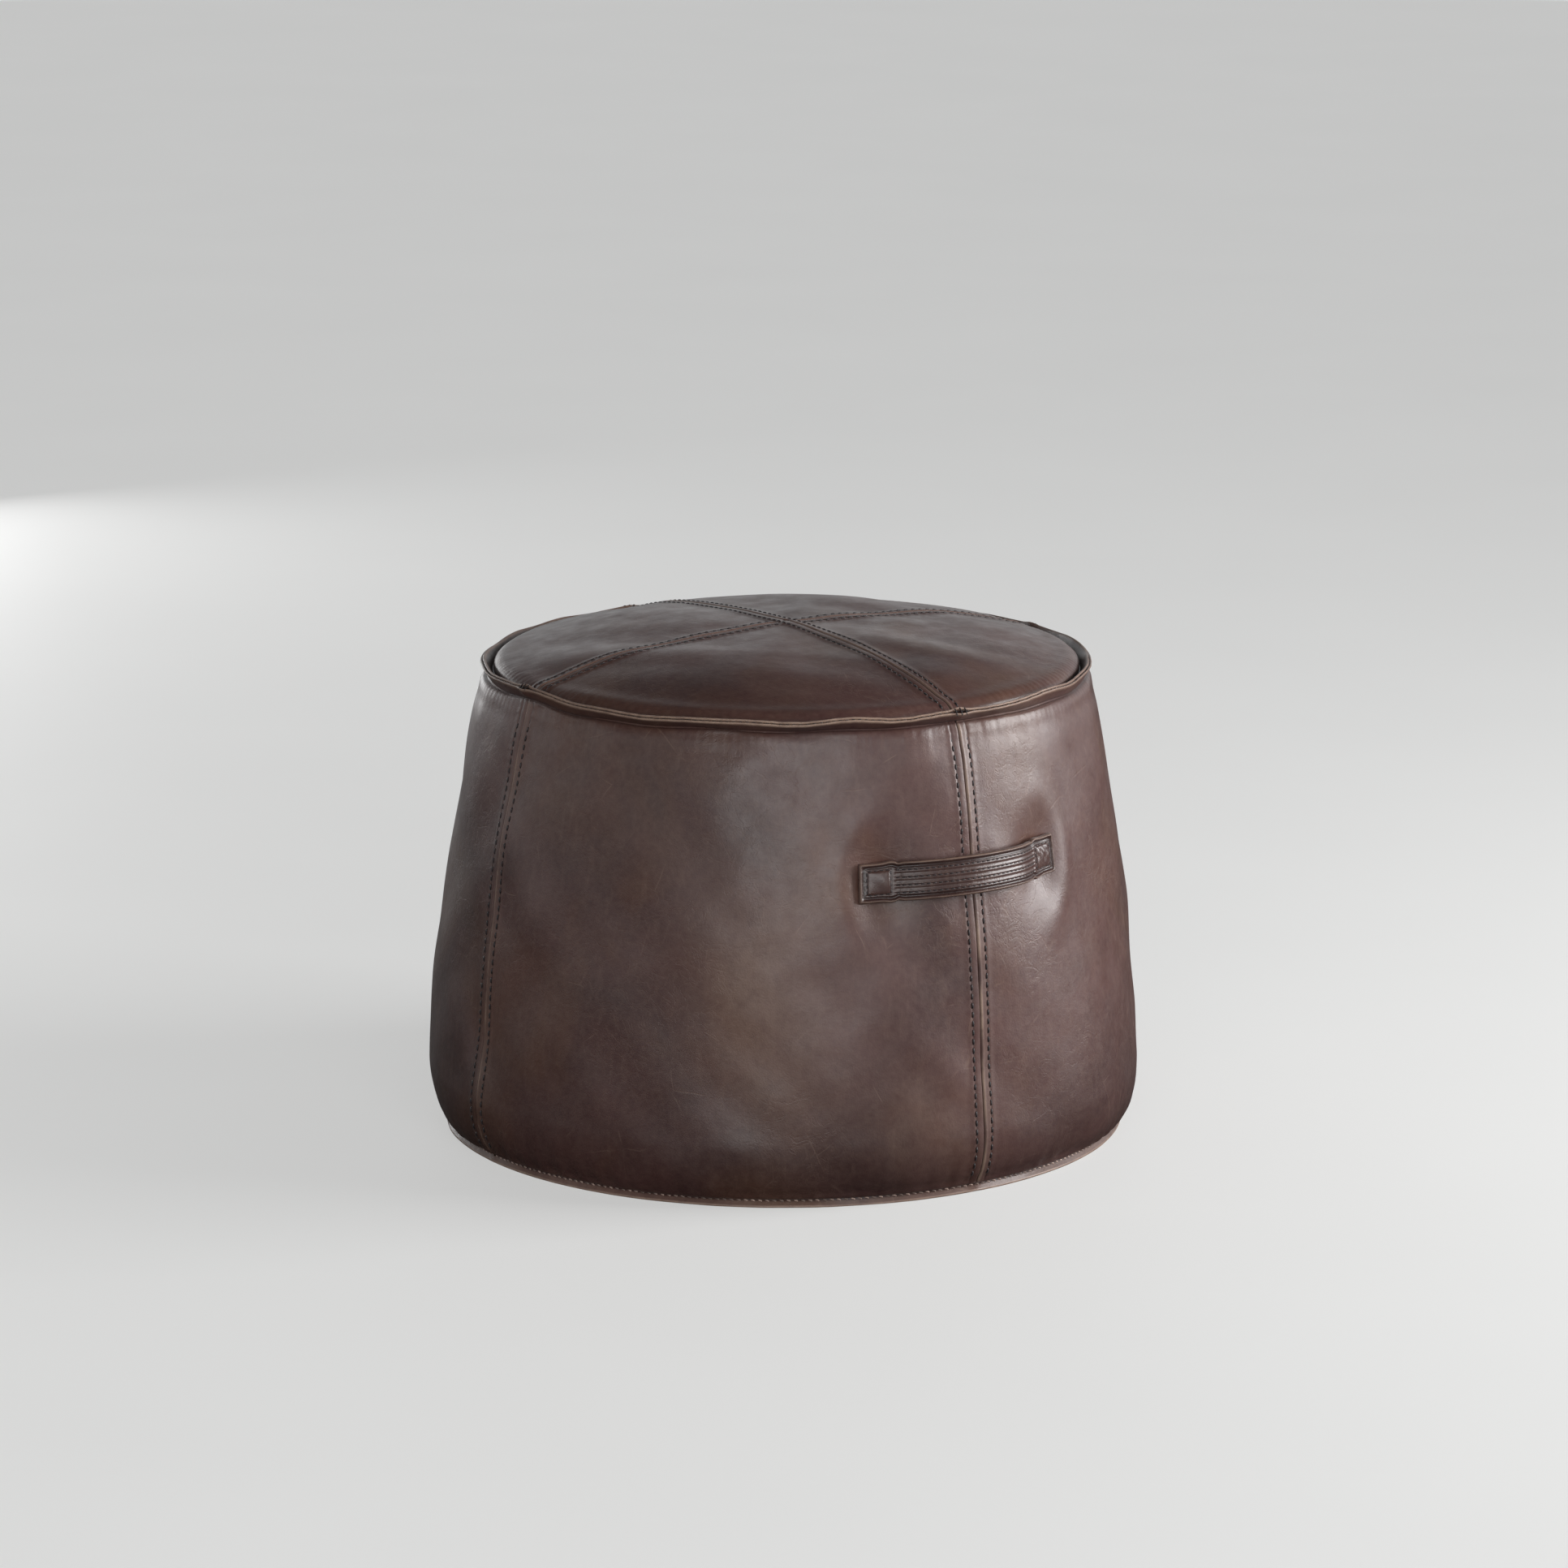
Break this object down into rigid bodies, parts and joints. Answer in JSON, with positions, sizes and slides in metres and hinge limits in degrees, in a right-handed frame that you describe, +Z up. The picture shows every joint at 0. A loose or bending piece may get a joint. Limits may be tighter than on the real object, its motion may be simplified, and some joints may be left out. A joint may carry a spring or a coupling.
{
  "type": "round leather pouf",
  "caption": "Round bead-filled leather floor pouf with a domed top, standing sewn edges, a side carry handle and a zip across the base.",
  "frame": {"origin": "middle of the ring that it stands on, at floor level", "axes": "+Z up; -Y towards the handle; the zip across the base runs along X"},
  "size_m": [0.5588, 0.5588, 0.396],
  "materials": {
    "cover_leather": "satin",
    "base_leather": "matte",
    "stitching": "satin",
    "liner_cloth": "matte",
    "bead_fill": "matte",
    "webbing": "matte",
    "zip_tape": "matte",
    "zip_coil": "satin",
    "zip_metal": "satin"
  },
  "bodies": {
    "cover": {"top_panel_front_right": "cover_leather", "top_panel_back_right": "cover_leather", "top_panel_back_left": "cover_leather", "top_panel_front_left": "cover_leather", "side_panel_front_right": "cover_leather", "side_panel_back_right": "cover_leather", "side_panel_back_left": "cover_leather", "side_panel_front_left": "cover_leather", "base_panel_front": "base_leather", "base_panel_back": "base_leather", "liner_top": "liner_cloth", "liner_side": "liner_cloth", "liner_base": "liner_cloth", "bead_fill": "bead_fill", "handle_strap": "cover_leather", "handle_webbing": "webbing", "handle_lining": "cover_leather", "anchor_patch_left": "webbing", "anchor_patch_right": "webbing", "zip_tape_front": "zip_tape", "zip_tape_back": "zip_tape", "zip_coil_front": "zip_coil", "zip_coil_back": "zip_coil", "zip_top_stop_front": "zip_metal", "zip_top_stop_back": "zip_metal", "zip_bottom_stop": "zip_metal"},
    "slider": {"zip_slider": "zip_metal"},
    "pull": {"zip_pull": "zip_metal"}
  },
  "joints": [
    {"name": "zip_slide", "type": "slide", "parent": "cover", "child": "slider", "axis": [-1, 0, 0], "range_m": [0, 0.276]},
    {"name": "zip_pull_swing", "type": "hinge", "parent": "slider", "child": "pull", "pos_m": [0.138, 0, 0.0055], "axis": [0, -1, 0], "range_deg": [-9, 165]}
  ]
}
